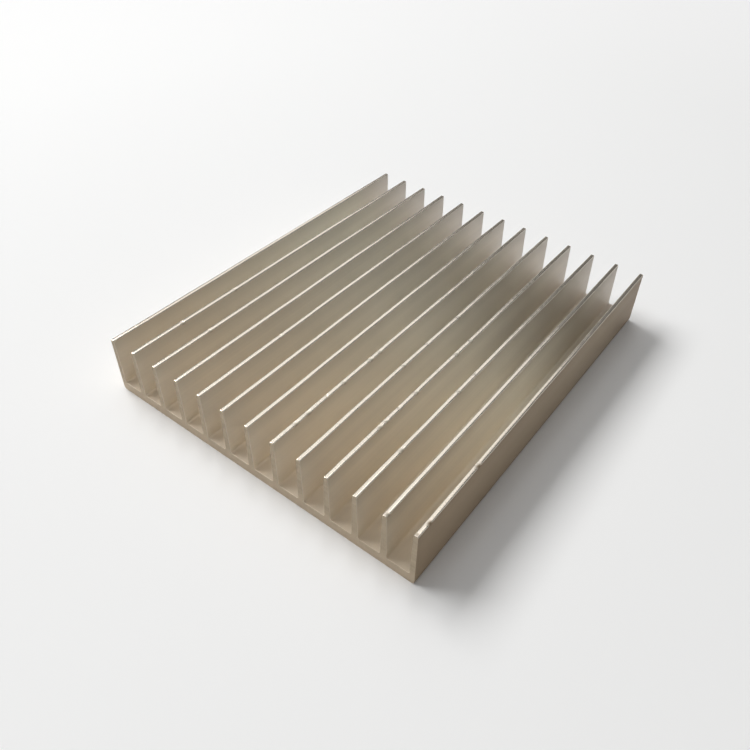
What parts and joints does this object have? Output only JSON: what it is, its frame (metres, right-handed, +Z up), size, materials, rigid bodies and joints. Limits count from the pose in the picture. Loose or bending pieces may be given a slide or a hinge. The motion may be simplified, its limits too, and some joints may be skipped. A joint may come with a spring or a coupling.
{
  "type": "extruded heat sink",
  "caption": "Flat extruded aluminium heat sink: straight parallel fins stand on a plain base plate, with the air channels open at both ends.",
  "frame": {"origin": "centre of the underside, the flat face that is fixed to the hot part", "axes": "+X across the fins, +Y along the extrusion and its air channels, +Z up from the base towards the fin tips"},
  "size_m": [0.1, 0.12, 0.018],
  "materials": {
    "extruded_aluminium": "satin extruded finish in a warm grey tone, with fine die lines along the fins, sawn ends and brighter worn fin tips"
  },
  "bodies": {
    "root": {"heat_sink": "extruded_aluminium"}
  },
  "joints": []
}
